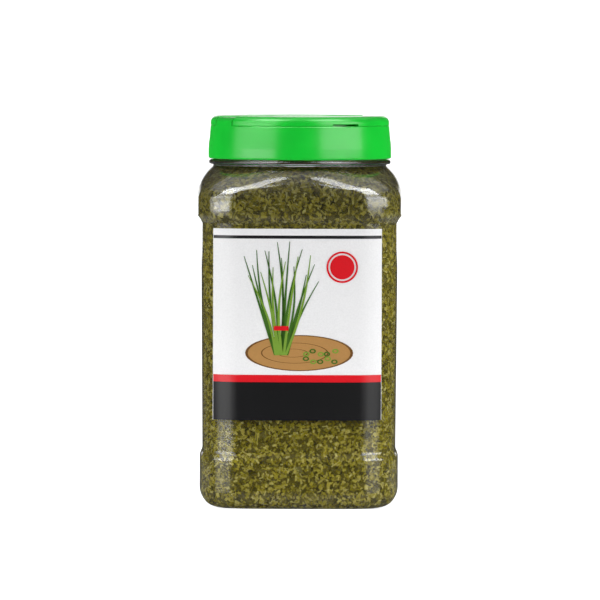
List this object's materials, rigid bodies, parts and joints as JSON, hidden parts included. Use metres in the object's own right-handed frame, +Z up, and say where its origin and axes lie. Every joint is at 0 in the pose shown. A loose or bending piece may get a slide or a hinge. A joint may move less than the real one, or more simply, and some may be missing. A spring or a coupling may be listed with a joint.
{
  "type": "jar of dried chives",
  "caption": "Clear square plastic jar filled with dried chopped chives, with a front label and a green screw cap that has two flip-up flaps for shaking or spooning.",
  "frame": {"origin": "centre of the bounding box at the standing face of the base", "axes": "+Z up along the jar's axis, the front with the label faces -Y, +X to the right seen from the front"},
  "size_m": [0.0924, 0.0924, 0.1746],
  "materials": {
    "clear_pet": "polished",
    "label_paper": "satin",
    "dried_herb": "matte",
    "liner_foam": "matte",
    "green_plastic": "satin"
  },
  "bodies": {
    "jar": {"jar": "clear_pet", "label": "label_paper", "dried_chives": "dried_herb"},
    "liner": {"liner_ring": "liner_foam"},
    "cap": {"cap_shell": "green_plastic"},
    "shaker_flap": {"shaker_flap": "green_plastic"},
    "spoon_flap": {"spoon_flap": "green_plastic"}
  },
  "joints": [
    {"name": "cap_rise", "type": "slide", "parent": "jar", "child": "liner", "axis": [0, 0, 1], "range_m": [0, 0.006]},
    {"name": "cap_turn", "type": "hinge", "parent": "liner", "child": "cap", "pos_m": [0, 0, 0.162], "axis": [0, 0, 1], "range_deg": [0, 450]},
    {"name": "shaker_flap_hinge", "type": "hinge", "parent": "cap", "child": "shaker_flap", "pos_m": [0.0035, -0.00583, 0.17465], "axis": [-0.8572, -0.515, 0], "range_deg": [0, 100]},
    {"name": "spoon_flap_hinge", "type": "hinge", "parent": "cap", "child": "spoon_flap", "pos_m": [-0.0035, 0.00583, 0.17465], "axis": [0.8572, 0.515, 0], "range_deg": [0, 100]}
  ],
  "couplings": [
    {"joint": "cap_rise", "follows": "cap_turn", "m_per_rad": 0.00076394}
  ]
}
